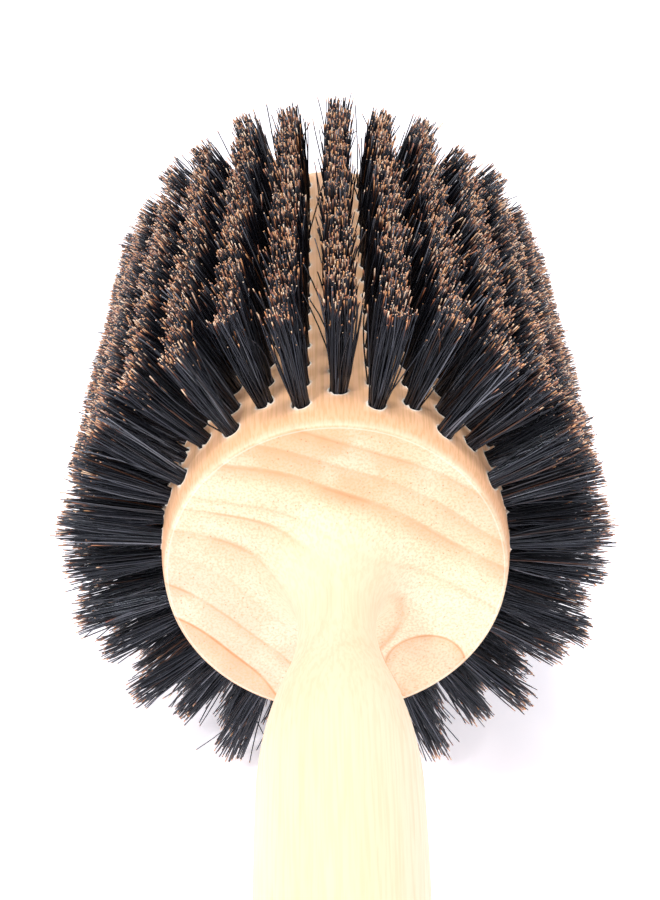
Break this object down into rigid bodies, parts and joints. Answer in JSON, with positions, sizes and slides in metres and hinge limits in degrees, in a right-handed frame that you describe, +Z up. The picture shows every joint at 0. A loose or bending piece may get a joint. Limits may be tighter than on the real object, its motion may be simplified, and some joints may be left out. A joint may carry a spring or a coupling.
{
  "type": "body dry brush",
  "caption": "Round body dry brush: a turned wooden barrel covered all round with staggered rows of dark natural bristle tufts, on a slim turned wooden handle.",
  "frame": {"origin": "middle of the bounding box's underside: the surface under the lowest bristle tips, half way along the brush", "axes": "+Y along the brush's axis, from the handle's butt towards the barrel's far end; +Z up as the brush lies on its bristles; +X to the right as seen from the handle"},
  "size_m": [0.071, 0.22, 0.0708],
  "materials": {
    "wood": "fine sanded pale wood with a thin matt sealer",
    "bristle": "black boar bristle with a satin sheen and pale brown split tips",
    "anchor_wire": "bright drawn flat wire"
  },
  "bodies": {
    "root": {"turned_body": "wood", "wire_anchors": "anchor_wire", "bristle_row_01": "bristle", "bristle_row_02": "bristle", "bristle_row_03": "bristle", "bristle_row_04": "bristle", "bristle_row_05": "bristle", "bristle_row_06": "bristle", "bristle_row_07": "bristle", "bristle_row_08": "bristle", "bristle_row_09": "bristle", "bristle_row_10": "bristle", "bristle_row_11": "bristle", "bristle_row_12": "bristle", "bristle_row_13": "bristle", "bristle_row_14": "bristle", "bristle_row_15": "bristle", "bristle_row_16": "bristle", "bristle_row_17": "bristle", "bristle_row_18": "bristle", "bristle_row_19": "bristle", "bristle_row_20": "bristle", "bristle_row_21": "bristle", "bristle_row_22": "bristle", "bristle_row_23": "bristle", "bristle_row_24": "bristle", "bristle_row_25": "bristle", "bristle_row_26": "bristle", "bristle_row_27": "bristle", "bristle_row_28": "bristle", "bristle_row_29": "bristle", "bristle_row_30": "bristle"}
  },
  "joints": []
}
